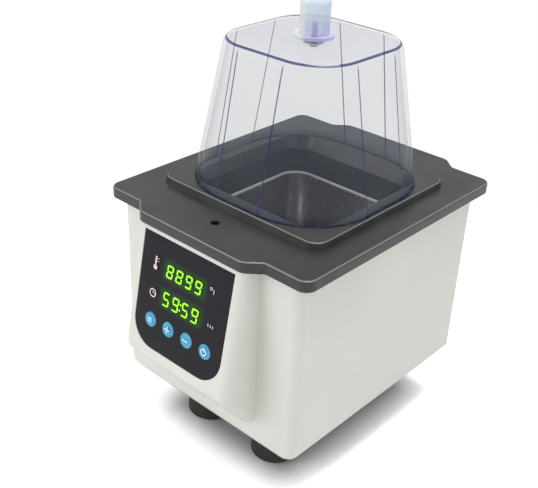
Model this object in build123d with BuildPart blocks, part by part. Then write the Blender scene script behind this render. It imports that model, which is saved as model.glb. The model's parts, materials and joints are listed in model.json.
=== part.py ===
from build123d import *
import math
import os

# A small laboratory water bath: a painted steel housing on four rubber feet, a moulded top frame
# around a deep-drawn steel tank, a leaning control pod in front and a clear lift-off lid.
# Millimetres. +X is to the right of someone facing the controls, +Y is to the rear, +Z is up.
# The origin is on the bench, under the middle of the top frame.

# Feet and base pan
FOOT_X = 35.4
FOOT_Y = 60.0
FOOT_D = 37.0
FOOT_H = 30.0
FOOT_TAPER = -2.5
FOOT_EDGE = 3.0
FOOT_GRIP = 12.0
NUT_FLAT = 8.0
NUT_H = 4.0
PAN_DEPTH = 14.0
PAN_INSET = 13.0
PAN_SHEET = 1.5
PAN_EDGE = 3.0
PAN_BEND = 2.0
PAN_SCREW_IN = 6.5
PAN_SCREW_PITCH = 62.0
VENT_PITCH = 9.0
VENT_LEN = 44.0
VENT_W = 3.0
BASE_Z = FOOT_H + PAN_DEPTH

# Housing
BODY_W = 172.0
BODY_D = 206.0
BODY_H = 145.4
BODY_R = 9.0
BODY_EDGE = 4.0
WALL = 2.5
LIP = 10.0
TAB_Z = 175.0
TAB_T = 3.0
TAB_W = 15.0
BODY_TOP = BASE_Z + BODY_H
FRONT_Y = -BODY_D / 2
REAR_Y = BODY_D / 2
PAN_SCREW_X = BODY_W / 2 - PAN_SCREW_IN

# Top frame
FRAME_OVER_X = 9.0
FRAME_OVER_Y = 4.5
FRAME_EDGE = 8.0
FRAME_SKIN = 3.0
FRAME_R = 8.0
FRAME_EDGE_R = 1.5
FRAME_SCREW_IN_X = 10.5
FRAME_SCREW_IN_Y = 11.0
FRAME_SCREW_LEN = 14.0
POST_D = 9.0
TONGUE_ROOT_W = 120.0
TONGUE_TIP_W = 98.0
TONGUE_REACH = 10.0
TONGUE_R = 9.0
FRAME_W = BODY_W + 2 * FRAME_OVER_X
FRAME_D = BODY_D + 2 * FRAME_OVER_Y
FRAME_SCREW_X = BODY_W / 2 - FRAME_SCREW_IN_X
FRAME_SCREW_Y = BODY_D / 2 - FRAME_SCREW_IN_Y
FRAME_TOP = BODY_TOP + FRAME_EDGE
CEILING = FRAME_TOP - FRAME_SKIN

# Raised rim around the opening and the neck below it
RIM_W = 151.0
RIM_H = 5.2
RIM_R = 11.0
RIM_DRAFT = 14.0
RIM_EDGE = 1.1
MOUTH_W = 124.0
MOUTH_R = 19.0
MOUTH_DROP = 10.0
MOUTH_SLOPE = 19.3
NECK_W = 117.0
NECK_R = 17.0
NECK_BOTTOM = 172.5
NECK_WALL = 3.0
NECK_FOOT_W = 137.0
NECK_FOOT_R = 20.0
NECK_FOOT_T = 3.0
RIM_TOP = FRAME_TOP + RIM_H

# Socket in the front ledge that holds a thermometer or probe
PORT_D = 6.4
PORT_DEPTH = 9.0
PORT_IN = 15.0
PORT_BOSS_D = 12.0
PORT_Y = -FRAME_D / 2 + PORT_IN

# Tank
TANK_W = 113.0
TANK_R = 15.0
TANK_DEPTH = 84.0
TANK_FLOOR_R = 8.0
TANK_SHEET = 1.0
GASKET_T = 1.5
FLANGE_TOP = NECK_BOTTOM - GASKET_T
TANK_FLOOR = FLANGE_TOP - TANK_DEPTH
TANK_SCREW_X = 64.0
TANK_SCREW_PITCH = 36.0

# Heater, clamp plate and insulation under and around the tank
HEATER_W = 92.0
HEATER_T = 2.0
PLATE_T = 2.0
JACKET_T = 11.0
JACKET_GAP = 0.4
JACKET_TOP_GAP = 3.0
CUTOUT_X = 22.0
CUTOUT_D = 16.0
CUTOUT_T = 6.5
SENSOR_D = 5.0
SENSOR_LEN = 12.0
TANK_UNDER = TANK_FLOOR - TANK_SHEET
HEATER_Z = TANK_UNDER - HEATER_T
PLATE_Z = HEATER_Z - PLATE_T
JACKET_Z = PLATE_Z - JACKET_T
JACKET_TOP = FLANGE_TOP - TANK_SHEET - JACKET_TOP_GAP
JACKET_IN_W = TANK_W + 2 * TANK_SHEET + 2 * JACKET_GAP
JACKET_OUT_W = JACKET_IN_W + 2 * JACKET_T
JACKET_OUT_R = TANK_R + TANK_SHEET + JACKET_GAP + JACKET_T

# Control pod: its face leans forward as it goes down, then the chin turns back to the housing
POD_W = 104.0
POD_LEAN = 10.65
POD_REACH = 13.3
POD_FACE_LEN = 92.0
POD_CHIN_R = 12.0
POD_CHIN_BACK = 40.0
POD_LOW_R = 29.0
POD_EDGE_R = 6.5
SLOT_W = 19.0
SLOT_H = 4.0
SLOT_SHIFT = 0.0
POD_TOP_Y = FRONT_Y - POD_REACH

# Rear housing for the mains connections
BACK_W = 104.0
BACK_REACH = 12.5
BACK_BOTTOM = 72.0
BACK_R = 12.0
BACK_EDGE = 4.0

# Panel overlay and its keys
PANEL_W = 86.6
PANEL_H = 85.3
PANEL_TOP = 3.6
PANEL_T = 0.8
PANEL_LOW_R = 20.0
PANEL_TOP_R = 1.0
PANEL_SINK = 0.4
PANEL_GAP = 0.15
KEY_D = 11.0
KEY_PITCH = 18.2
KEY_V = 67.5
KEY_T = 1.6
KEY_PROUD = 0.3
KEY_GAP = 0.06
KEY_TRAVEL = 0.4

# Lid and knob
LID_W = 146.0
LID_R = 53.0
LID_H = 105.0
LID_DRAFT = 10.78
LID_T = 3.0
LID_EDGE = 7.0
WASHER_D = 14.0
WASHER_T = 1.0
KNOB_SCREW_LEN = 14.0
KNOB_D = 21.0
KNOB_H = 29.0
KNOB_FOOT_D = 27.5
KNOB_FOOT_H = 2.4
KNOB_CROWN = 6.0
LID_TOP = RIM_TOP + LID_H

# Boards, displays and switches behind the panel, measured inward from the pod's face
DISPLAY_W = 40.0
DISPLAY_H = 14.0
DISPLAY_T = 7.0
TEMP_V = 25.4
TIME_V = 46.3
BOARD_T = 1.6
FRONT_BOARD_W = 86.0
FRONT_BOARD_H = 76.0
FRONT_BOARD_TOP = 6.0
BOSS_D = 7.0
BOSS_X = 38.0
BOSS_TOP_V = 11.0
BOSS_LOW_V = 77.0
BOARD_SCREW_LEN = 6.5
SWITCH_W = 6.0
SWITCH_T = 5.0
KEY_STEM_D = 3.0
KEY_STOP_GAP = 0.1
BUZZER_D = 14.0
BUZZER_T = 7.5

# Power board on the base pan
MAIN_W = 112.0
MAIN_D = 76.0
MAIN_RISE = 6.5
MAIN_HOLE_X = 50.0
MAIN_HOLE_Y = 32.0
STANDOFF_D = 6.5
TRANSFORMER_X = -30.0
TRANSFORMER_W = 32.5
TRANSFORMER_D = 27.5
TRANSFORMER_H = 24.0
SINK_X = 26.0
SINK_Y = 12.0
SINK_W = 34.0
SINK_FIN = 10.0
SINK_H = 25.0
TRIAC_T = 4.5
TERMINAL_X = 24.0
TERMINAL_Y = -29.0
TERMINAL_W = 26.0
CAP_X = 2.0
CAP_D = 10.0
CAP_H = 16.0
RIBBON_W = 20.0
RIBBON_T = 1.0
RIBBON_Y = FRONT_Y - 2.0
RIBBON_Z = 105.0

# Mains connections in the rear housing
INLET_X = -20.0
SWITCH_X = 22.0
MAINS_Z = 122.0
INLET_W = 27.0
INLET_H = 31.0
INLET_DEPTH = 30.0
INLET_FLANGE_W = 32.0
INLET_FLANGE_H = 37.0
INLET_FLANGE_T = 2.5
SOCKET_W = 24.4
SOCKET_H = 16.6
SOCKET_DEPTH = 16.0
SOCKET_DROP = 5.6
PIN_W = 2.0
PIN_H = 4.0
PIN_PITCH = 14.0
PIN_OFFSET = 4.0
PIN_SINK = 3.0
PIN_TAIL = 7.0
DRAWER_W = 22.6
DRAWER_H = 7.8
DRAWER_DEPTH = 17.0
DRAWER_RISE = 10.4
DRAWER_GAP = 0.2
DRAWER_LIP = 1.2
FUSE_D = 5.2
FUSE_LEN = 20.0
FUSE_SINK = 9.0
ROCKER_W = 18.0
ROCKER_H = 22.4
ROCKER_GAP = 0.3
ROCKER_TILT = 8.0
BEZEL_W = 25.0
BEZEL_H = 31.0
BEZEL_T = 2.5
BEZEL_WALL = 1.8
BEZEL_DEPTH = 22.0
BEZEL_LAP = 1.5
WINDOW_H = 25.4
ROCKER_BACK = 5.5
ROCKER_ROOM = 8.0
PIVOT_LEN = 20.4
PIVOT_DROP = 5.0
PIVOT_D = 2.4
PIVOT_GAP = 0.05

# Screws: shank, clearance of the threads and head sizes
THREAD_GAP = 0.03
HOLE_GAP = 0.2
M3 = 3.0
M3_HEAD_D = 5.6
M3_HEAD_H = 2.0
M4 = 4.0
M4_HEAD_D = 7.4
M4_HEAD_H = 2.6
M5 = 5.0
M5_HEAD_D = 9.0
M5_HEAD_H = 3.2

os.makedirs("parts", exist_ok=True)


def save(builder, name):
    builder.part.label = name
    export_step(builder.part, f"parts/{name}.step")


def frame_outline():
    """Plan of the top frame: a rounded rectangle with a tongue at the front and at the rear."""
    tip_y = FRAME_D / 2 + TONGUE_REACH
    root_y = FRAME_D / 2
    with BuildSketch() as outline:
        RectangleRounded(FRAME_W, FRAME_D, FRAME_R)
        with BuildLine():
            Polyline(
                (-TONGUE_ROOT_W / 2, -root_y),
                (-TONGUE_TIP_W / 2, -tip_y),
                (TONGUE_TIP_W / 2, -tip_y),
                (TONGUE_ROOT_W / 2, -root_y),
                (TONGUE_ROOT_W / 2, root_y),
                (TONGUE_TIP_W / 2, tip_y),
                (-TONGUE_TIP_W / 2, tip_y),
                (-TONGUE_ROOT_W / 2, root_y),
                close=True,
            )
        make_face()
        fillet(outline.vertices().filter_by(lambda v: abs(v.Y) > root_y + 1), TONGUE_R)
        fillet(
            outline.vertices().filter_by(
                lambda v: abs(abs(v.Y) - root_y) < 0.01 and abs(abs(v.X) - TONGUE_ROOT_W / 2) < 0.01
            ),
            TONGUE_R / 2,
        )
    return outline.sketch


def ring(outer_w, outer_r, inner_w, inner_r):
    """A square ring with rounded corners."""
    with BuildSketch() as shape:
        RectangleRounded(outer_w, outer_w, outer_r)
        RectangleRounded(inner_w, inner_w, inner_r, mode=Mode.SUBTRACT)
    return shape.sketch


# Plane of the pod's face, with its origin at the top middle: local x is +X, local y runs up the face
lean = math.radians(POD_LEAN)
FACE_NORMAL = (0, -math.cos(lean), math.sin(lean))
FACE_ORIGIN = (0, POD_TOP_Y, BODY_TOP)


def face_plane(depth):
    """A plane parallel to the pod's face, this far behind it."""
    return Plane(origin=FACE_ORIGIN, x_dir=(1, 0, 0), z_dir=FACE_NORMAL).offset(-depth)


# Chin: the arc below the pod's face and the slope that leads back to the housing
chin_back = math.radians(POD_CHIN_BACK)
LOW_Y = POD_TOP_Y - POD_FACE_LEN * math.sin(lean)
LOW_Z = BODY_TOP - POD_FACE_LEN * math.cos(lean)
CHIN_Y = LOW_Y + POD_CHIN_R * math.cos(lean)
CHIN_Z = LOW_Z - POD_CHIN_R * math.sin(lean)
CHIN_END_Y = CHIN_Y - POD_CHIN_R * math.cos(chin_back)
CHIN_END_Z = CHIN_Z - POD_CHIN_R * math.sin(chin_back)
ROOT_Y = FRONT_Y + 3 * WALL
ROOT_Z = CHIN_END_Z - (ROOT_Y - CHIN_END_Y) / math.tan(chin_back)


def chin_plane(depth):
    """A plane parallel to the chin's slope, this far behind it, centred on the slot."""
    slope_y = (CHIN_END_Y + FRONT_Y) / 2 + SLOT_SHIFT * math.sin(chin_back)
    slope_z = CHIN_END_Z - (slope_y - CHIN_END_Y) / math.tan(chin_back)
    normal = (0, -math.cos(chin_back), -math.sin(chin_back))
    return Plane(origin=(0, slope_y, slope_z), x_dir=(1, 0, 0), z_dir=normal).offset(-depth)


def pod_form(inset, rounding):
    """The control pod as a solid, pulled in all round by the inset."""
    mid = (chin_back - lean) / 2
    chin_mid = (CHIN_Y - POD_CHIN_R * math.cos(mid), CHIN_Z - POD_CHIN_R * math.sin(mid))
    with BuildPart() as form:
        with BuildSketch(Plane.YZ):
            with BuildLine():
                Polyline((CHIN_END_Y, CHIN_END_Z), (ROOT_Y, ROOT_Z), (ROOT_Y, BODY_TOP),
                         (POD_TOP_Y, BODY_TOP), (LOW_Y, LOW_Z))
                ThreePointArc((LOW_Y, LOW_Z), chin_mid, (CHIN_END_Y, CHIN_END_Z))
            make_face()
            if inset:
                offset(amount=-inset)
        extrude(amount=POD_W, both=True)
        with BuildSketch(Plane.XZ) as front:
            with Locations((0, (ROOT_Z + BODY_TOP) / 2)):
                Rectangle(POD_W - 2 * inset, BODY_TOP - ROOT_Z)
            fillet(front.vertices().sort_by(Axis.Y)[:2], POD_LOW_R - inset)
        extrude(amount=FRAME_D, mode=Mode.INTERSECT)
        if rounding:
            sides = form.edges().filter_by(
                lambda e: e.center().Y < ROOT_Y - 1 and e.center().Z < BODY_TOP - 1 and abs(e.center().X) > 1
            )
            fillet(sides, rounding)
        split(bisect_by=Plane.XY.offset(BASE_Z + BODY_EDGE), keep=Keep.TOP)
    return form.part


def back_form(inset):
    """The rear housing for the mains connections as a solid, pulled in all round by the inset."""
    height = BODY_TOP - BACK_BOTTOM
    with BuildPart() as form:
        with BuildSketch(Plane.XZ.offset(-REAR_Y + 3 * WALL)) as rear:
            with Locations((0, BACK_BOTTOM + height / 2)):
                Rectangle(BACK_W - 2 * inset, height - 2 * inset)
            fillet(rear.vertices().sort_by(Axis.Y)[:2], BACK_R - inset)
        extrude(amount=-(3 * WALL + BACK_REACH - inset))
        if not inset:
            fillet(form.faces().sort_by(Axis.Y)[-1].edges().filter_by(lambda e: e.center().Z < BODY_TOP - 1), BACK_EDGE)
    return form.part


def tank_form(grow):
    """The space inside the tank, grown outward by the sheet."""
    with BuildPart() as form:
        with BuildSketch(Plane.XY.offset(TANK_FLOOR - grow)):
            RectangleRounded(TANK_W + 2 * grow, TANK_W + 2 * grow, TANK_R + grow)
        extrude(amount=TANK_DEPTH + grow)
        fillet(form.faces().sort_by(Axis.Z)[0].edges(), TANK_FLOOR_R + grow)
    return form.part


def screws(spots, plane, shank_d, length, head_d, head_h):
    """A group of pan head screws: heads on the plane's outer side, shanks running the other way."""
    with BuildPart() as group:
        with BuildSketch(plane):
            with Locations(*spots):
                Circle(head_d / 2)
        extrude(amount=head_h)
        chamfer(group.faces().filter_by(lambda f: f.normal_at().dot(plane.z_dir) > 0.9).edges(), head_h * 0.35)
        with BuildSketch(plane.offset(head_h)):
            with Locations(*spots):
                Rectangle(head_d * 0.6, head_d * 0.14)
                Rectangle(head_d * 0.14, head_d * 0.6)
        extrude(amount=-head_h * 0.5, mode=Mode.SUBTRACT)
        with BuildSketch(plane):
            with Locations(*spots):
                Circle(shank_d / 2)
        extrude(amount=-length)
    return group


def grid(half_x, half_y):
    return [(-half_x, -half_y), (half_x, -half_y), (half_x, half_y), (-half_x, half_y)]


tank_screw_spots = [
    spot
    for side in (-TANK_SCREW_X, TANK_SCREW_X)
    for along in (-TANK_SCREW_PITCH, 0, TANK_SCREW_PITCH)
    for spot in ((side, along), (along, side))
]
pan_screw_spots = [(side * PAN_SCREW_X, along) for side in (-1, 1) for along in (-PAN_SCREW_PITCH, 0, PAN_SCREW_PITCH)]
foot_spots = grid(FOOT_X, FOOT_Y)
frame_screw_spots = grid(FRAME_SCREW_X, FRAME_SCREW_Y)
front_board_spots = [(x, -v) for x in (-BOSS_X, BOSS_X) for v in (BOSS_TOP_V, BOSS_LOW_V)]
key_spots = [(KEY_PITCH * (i - 1.5), -KEY_V) for i in range(4)]

# Depths behind the pod's face
PANEL_BACK = PANEL_SINK + PANEL_T
DISPLAY_FRONT = PANEL_BACK + 0.1
BOARD_FRONT = DISPLAY_FRONT + DISPLAY_T
SWITCH_FRONT = BOARD_FRONT - SWITCH_T

# Rubber feet, each hollowed below for its screw
with BuildPart() as rubber_feet:
    with BuildSketch():
        with Locations(*foot_spots):
            Circle(FOOT_D / 2)
    extrude(amount=FOOT_H, taper=-FOOT_TAPER)
    fillet(rubber_feet.faces().filter_by(lambda f: f.center().Z < 0.01).edges(), FOOT_EDGE)
    with BuildSketch():
        with Locations(*foot_spots):
            Circle(M5_HEAD_D / 2 + 1)
    extrude(amount=FOOT_H - FOOT_GRIP, mode=Mode.SUBTRACT)
    with BuildSketch():
        with Locations(*foot_spots):
            Circle(M5 / 2 + HOLE_GAP)
    extrude(amount=FOOT_H, mode=Mode.SUBTRACT)
save(rubber_feet, "rubber_feet")

# Pressed steel base pan with a flange that closes the housing and slots that let warm air out
with BuildPart() as base_pan:
    with BuildSketch(Plane.XY.offset(BASE_Z - PAN_SHEET)):
        RectangleRounded(BODY_W - 2 * PAN_EDGE, BODY_D - 2 * PAN_EDGE, BODY_R - PAN_EDGE / 2)
    extrude(amount=PAN_SHEET)
    with BuildSketch(Plane.XY.offset(FOOT_H)):
        RectangleRounded(BODY_W - 2 * PAN_INSET, BODY_D - 2 * PAN_INSET, BODY_R)
    extrude(amount=PAN_DEPTH)
    fillet(base_pan.faces().sort_by(Axis.Z)[0].edges(), PAN_BEND)
    with BuildSketch(Plane.XY.offset(FOOT_H + PAN_SHEET)):
        RectangleRounded(
            BODY_W - 2 * PAN_INSET - 2 * PAN_SHEET, BODY_D - 2 * PAN_INSET - 2 * PAN_SHEET, BODY_R - PAN_SHEET
        )
    extrude(amount=PAN_DEPTH, mode=Mode.SUBTRACT)
    with BuildSketch(Plane.XY.offset(FOOT_H)):
        with Locations(*foot_spots):
            Circle(M5 / 2 + HOLE_GAP)
        with GridLocations(2 * MAIN_HOLE_X, 2 * MAIN_HOLE_Y, 2, 2):
            Circle(M3 / 2 + HOLE_GAP)
        with GridLocations(0, VENT_PITCH, 1, 7):
            SlotOverall(VENT_LEN, VENT_W)
    extrude(amount=PAN_SHEET + PAN_BEND, mode=Mode.SUBTRACT)
    with BuildSketch(Plane.XY.offset(BASE_Z - PAN_SHEET)):
        with Locations(*pan_screw_spots):
            Circle(M3 / 2 + HOLE_GAP)
    extrude(amount=PAN_SHEET, mode=Mode.SUBTRACT)
save(base_pan, "base_pan")

foot_screws = screws(foot_spots, Plane.XY.offset(FOOT_H - FOOT_GRIP).rotated((180, 0, 0)),
                     M5, FOOT_GRIP + PAN_SHEET + NUT_H + 1.5, M5_HEAD_D, M5_HEAD_H)
save(foot_screws, "foot_screws")

with BuildPart() as foot_nuts:
    with BuildSketch(Plane.XY.offset(FOOT_H + PAN_SHEET)):
        with Locations(*foot_spots):
            RegularPolygon(NUT_FLAT / 2, 6, major_radius=False)
            Circle(M5 / 2 + THREAD_GAP, mode=Mode.SUBTRACT)
    extrude(amount=NUT_H)
save(foot_nuts, "foot_nuts")

# Painted housing: the box, the pod in front and the rear housing share one skin
pod_outside = pod_form(0, POD_EDGE_R)
pod_inside = pod_form(WALL, 0)
back_outside = back_form(0)
back_inside = back_form(WALL)

with BuildPart() as housing_shell:
    with BuildSketch(Plane.XY.offset(BASE_Z)):
        RectangleRounded(BODY_W, BODY_D, BODY_R)
    extrude(amount=CEILING - BASE_Z)
    fillet(housing_shell.faces().sort_by(Axis.Z)[0].edges(), BODY_EDGE)
    add(pod_outside)
    add(back_outside)
    # room inside
    with BuildSketch(Plane.XY.offset(BASE_Z + WALL)):
        RectangleRounded(BODY_W - 2 * WALL, BODY_D - 2 * WALL, BODY_R - WALL)
    extrude(amount=CEILING - BASE_Z, mode=Mode.SUBTRACT)
    add(pod_inside, mode=Mode.SUBTRACT)
    add(back_inside, mode=Mode.SUBTRACT)
    with BuildSketch(Plane.XY.offset(BASE_Z)):
        RectangleRounded(BODY_W - 2 * LIP, BODY_D - 2 * LIP, BODY_R)
    extrude(amount=WALL, mode=Mode.SUBTRACT)
    with BuildSketch(Plane.XY.offset(BASE_Z)):
        with Locations(*pan_screw_spots):
            Circle(M3 / 2 + THREAD_GAP)
    extrude(amount=WALL, mode=Mode.SUBTRACT)
    # corner tabs that carry the top frame
    with BuildSketch(Plane.XY.offset(TAB_Z - TAB_T)):
        with Locations(*[(math.copysign(BODY_W / 2 - WALL - TAB_W / 2, x), math.copysign(BODY_D / 2 - WALL - TAB_W / 2, y))
                         for x, y in frame_screw_spots]):
            Rectangle(TAB_W, TAB_W)
        with Locations(*frame_screw_spots):
            Circle(M4 / 2 + HOLE_GAP, mode=Mode.SUBTRACT)
    extrude(amount=TAB_T)
    # bosses for the display board
    with BuildSketch(face_plane(BOARD_FRONT)):
        with Locations(*front_board_spots):
            Circle(BOSS_D / 2)
    extrude(amount=BOARD_FRONT - WALL + 0.5)
    with BuildSketch(face_plane(BOARD_FRONT)):
        with Locations(*front_board_spots):
            Circle(M3 / 2 + THREAD_GAP)
    extrude(amount=BOARD_SCREW_LEN - BOARD_T, mode=Mode.SUBTRACT)
    # sunk bed of the panel, display windows, key wells and switch passages
    with BuildSketch(face_plane(PANEL_BACK)):
        with Locations((0, -PANEL_TOP - PANEL_H / 2)):
            bed = Rectangle(PANEL_W + 2 * PANEL_GAP, PANEL_H + 2 * PANEL_GAP)
        fillet(bed.vertices().sort_by(Axis.Y)[:2], PANEL_LOW_R + PANEL_GAP)
    extrude(amount=PANEL_BACK + 2, mode=Mode.SUBTRACT)
    with BuildSketch(face_plane(WALL + 2)):
        with Locations((0, -TEMP_V), (0, -TIME_V)):
            Rectangle(DISPLAY_W + 1, DISPLAY_H + 1)
        with Locations(*key_spots):
            Circle(KEY_STEM_D / 2 + 0.4)
    extrude(amount=WALL + 2, mode=Mode.SUBTRACT)
    with BuildSketch(face_plane(PANEL_BACK + KEY_TRAVEL + KEY_STOP_GAP)):
        with Locations(*key_spots):
            Circle(KEY_D / 2 + 0.3)
    extrude(amount=PANEL_BACK, mode=Mode.SUBTRACT)
    # sound slot in the chin
    with BuildSketch(chin_plane(2 * WALL)):
        SlotOverall(SLOT_W, SLOT_H)
    extrude(amount=4 * WALL, mode=Mode.SUBTRACT)
    # cut-outs for the inlet and the switch
    with BuildSketch(Plane.XZ.offset(-REAR_Y - BACK_REACH - 1)):
        with Locations((INLET_X, MAINS_Z)):
            Rectangle(INLET_W + 2 * HOLE_GAP, INLET_H + 2 * HOLE_GAP)
        with Locations((SWITCH_X, MAINS_Z)):
            Rectangle(BEZEL_W - 2 * BEZEL_LAP + 2 * HOLE_GAP, BEZEL_H - 2 * BEZEL_LAP + 2 * HOLE_GAP)
    extrude(amount=WALL + 2, mode=Mode.SUBTRACT)
save(housing_shell, "housing_shell")

pan_screws = screws(pan_screw_spots, Plane.XY.offset(BASE_Z - PAN_SHEET).rotated((180, 0, 0)),
                    M3, PAN_SHEET + WALL - 0.1, M3_HEAD_D, M3_HEAD_H)
save(pan_screws, "pan_screws")

# Moulded top frame: skirt, tongues, raised rim, sloping mouth and neck in one piece
with BuildPart() as top_frame:
    with BuildSketch(Plane.XY.offset(BODY_TOP)):
        add(frame_outline())
    extrude(amount=FRAME_EDGE)
    fillet(top_frame.faces().sort_by(Axis.Z)[-1].edges(), FRAME_EDGE_R)
    with BuildSketch(Plane.XY.offset(BODY_TOP)):
        add(frame_outline())
        offset(amount=-FRAME_SKIN)
    extrude(amount=FRAME_EDGE - FRAME_SKIN, mode=Mode.SUBTRACT)
    with BuildSketch(Plane.XY.offset(FRAME_TOP - FRAME_SKIN)):
        RectangleRounded(RIM_W, RIM_W, RIM_R)
    extrude(amount=FRAME_SKIN)
    with BuildSketch(Plane.XY.offset(FRAME_TOP)):
        RectangleRounded(RIM_W, RIM_W, RIM_R)
    extrude(amount=RIM_H, taper=RIM_DRAFT)
    fillet(top_frame.faces().sort_by(Axis.Z)[-1].edges(), RIM_EDGE)
    with BuildSketch(Plane.XY.offset(NECK_BOTTOM)):
        RectangleRounded(NECK_W + 2 * NECK_WALL, NECK_W + 2 * NECK_WALL, NECK_R + NECK_WALL)
    extrude(amount=FRAME_TOP - NECK_BOTTOM)
    with BuildSketch(Plane.XY.offset(NECK_BOTTOM)):
        RectangleRounded(NECK_FOOT_W, NECK_FOOT_W, NECK_FOOT_R)
    extrude(amount=NECK_FOOT_T)
    # mouth slope, then the straight neck
    with BuildSketch(Plane.XY.offset(RIM_TOP)):
        RectangleRounded(MOUTH_W, MOUTH_W, MOUTH_R)
    extrude(amount=-MOUTH_DROP, taper=MOUTH_SLOPE, mode=Mode.SUBTRACT)
    with BuildSketch(Plane.XY.offset(NECK_BOTTOM)):
        RectangleRounded(NECK_W, NECK_W, NECK_R)
    extrude(amount=RIM_TOP - NECK_BOTTOM, mode=Mode.SUBTRACT)
    # screw posts, port boss and their holes
    with BuildSketch(Plane.XY.offset(TAB_Z)):
        with Locations(*frame_screw_spots):
            Circle(POST_D / 2)
    extrude(amount=CEILING - TAB_Z + 0.5)
    with BuildSketch(Plane.XY.offset(FRAME_TOP - PORT_DEPTH - FRAME_SKIN)):
        with Locations((0, PORT_Y)):
            Circle(PORT_BOSS_D / 2)
    extrude(amount=PORT_DEPTH)
    with BuildSketch(Plane.XY.offset(FRAME_TOP)):
        with Locations((0, PORT_Y)):
            Circle(PORT_D / 2)
    extrude(amount=-PORT_DEPTH, mode=Mode.SUBTRACT)
    with BuildSketch(Plane.XY.offset(TAB_Z)):
        with Locations(*frame_screw_spots):
            Circle(M4 / 2 + THREAD_GAP)
    extrude(amount=FRAME_SCREW_LEN - TAB_T + 0.5, mode=Mode.SUBTRACT)
    with BuildSketch(Plane.XY.offset(NECK_BOTTOM)):
        with Locations(*tank_screw_spots):
            Circle(M3 / 2 + THREAD_GAP)
    extrude(amount=NECK_FOOT_T - 0.5, mode=Mode.SUBTRACT)
save(top_frame, "top_frame")

frame_screws = screws(frame_screw_spots, Plane.XY.offset(TAB_Z - TAB_T).rotated((180, 0, 0)),
                      M4, FRAME_SCREW_LEN, M4_HEAD_D, M4_HEAD_H)
save(frame_screws, "frame_screws")

# Deep-drawn tank, hung by its flange under the neck with a gasket between
tank_outside = tank_form(TANK_SHEET)
tank_inside = tank_form(0)

with BuildPart() as tank:
    add(tank_outside)
    with BuildSketch(Plane.XY.offset(FLANGE_TOP - TANK_SHEET)):
        RectangleRounded(NECK_FOOT_W, NECK_FOOT_W, NECK_FOOT_R)
    extrude(amount=TANK_SHEET)
    add(tank_inside, mode=Mode.SUBTRACT)
    with BuildSketch(Plane.XY.offset(FLANGE_TOP - TANK_SHEET)):
        with Locations(*tank_screw_spots):
            Circle(M3 / 2 + HOLE_GAP)
    extrude(amount=TANK_SHEET, mode=Mode.SUBTRACT)
save(tank, "tank")

with BuildPart() as tank_gasket:
    with BuildSketch(Plane.XY.offset(FLANGE_TOP)):
        add(ring(NECK_FOOT_W, NECK_FOOT_R, NECK_W, NECK_R))
        with Locations(*tank_screw_spots):
            Circle(M3 / 2 + HOLE_GAP, mode=Mode.SUBTRACT)
    extrude(amount=GASKET_T)
save(tank_gasket, "tank_gasket")

tank_screws = screws(tank_screw_spots, Plane.XY.offset(FLANGE_TOP - TANK_SHEET).rotated((180, 0, 0)),
                     M3, TANK_SHEET + GASKET_T + NECK_FOOT_T - 0.7, M3_HEAD_D, M3_HEAD_H)
save(tank_screws, "tank_screws")

# Heater mat pressed to the tank floor by a plate
with BuildPart() as heater_mat:
    with BuildSketch(Plane.XY.offset(HEATER_Z)):
        RectangleRounded(HEATER_W, HEATER_W, 8)
    extrude(amount=HEATER_T)
save(heater_mat, "heater_mat")

with BuildPart() as heater_plate:
    with BuildSketch(Plane.XY.offset(PLATE_Z)):
        RectangleRounded(HEATER_W, HEATER_W, 8)
    extrude(amount=PLATE_T)
save(heater_plate, "heater_plate")

with BuildPart() as insulation_jacket:
    with BuildSketch(Plane.XY.offset(JACKET_Z)):
        RectangleRounded(JACKET_OUT_W, JACKET_OUT_W, JACKET_OUT_R)
    extrude(amount=JACKET_TOP - JACKET_Z)
    with BuildSketch(Plane.XY.offset(PLATE_Z)):
        RectangleRounded(JACKET_IN_W, JACKET_IN_W, TANK_R + TANK_SHEET + JACKET_GAP)
    extrude(amount=JACKET_TOP - PLATE_Z, mode=Mode.SUBTRACT)
    with BuildSketch(Plane.XY.offset(JACKET_Z)):
        with Locations((CUTOUT_X, 0)):
            Circle(CUTOUT_D / 2 + 2)
        with Locations((-CUTOUT_X, 0)):
            Circle(SENSOR_D / 2 + 2)
    extrude(amount=JACKET_T, mode=Mode.SUBTRACT)
save(insulation_jacket, "insulation_jacket")

# Over-temperature cut-out and temperature sensor under the plate
with BuildPart() as thermal_cutout:
    with BuildSketch(Plane.XY.offset(PLATE_Z)):
        with Locations((CUTOUT_X, 0)):
            Circle(CUTOUT_D / 2)
    extrude(amount=-CUTOUT_T)
    with BuildSketch(Plane.XY.offset(PLATE_Z - CUTOUT_T)):
        with Locations((CUTOUT_X - 4, 0), (CUTOUT_X + 4, 0)):
            Rectangle(0.8, 6.3)
    extrude(amount=-7)
save(thermal_cutout, "thermal_cutout")

with BuildPart() as temperature_sensor:
    with BuildSketch(Plane.XY.offset(PLATE_Z)):
        with Locations((-CUTOUT_X, 0)):
            Circle(SENSOR_D / 2)
    extrude(amount=-SENSOR_LEN)
    chamfer(temperature_sensor.faces().sort_by(Axis.Z)[0].edges(), SENSOR_D / 4)
save(temperature_sensor, "temperature_sensor")

# Panel overlay with a hole for each key
with BuildPart() as panel_overlay:
    with BuildSketch(face_plane(PANEL_BACK)) as overlay_outline:
        with Locations((0, -PANEL_TOP - PANEL_H / 2)):
            Rectangle(PANEL_W, PANEL_H)
        fillet(overlay_outline.vertices().sort_by(Axis.Y)[:2], PANEL_LOW_R)
        with Locations(*key_spots):
            Circle(KEY_D / 2 + KEY_GAP, mode=Mode.SUBTRACT)
    extrude(amount=PANEL_T)
save(panel_overlay, "panel_overlay")

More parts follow.
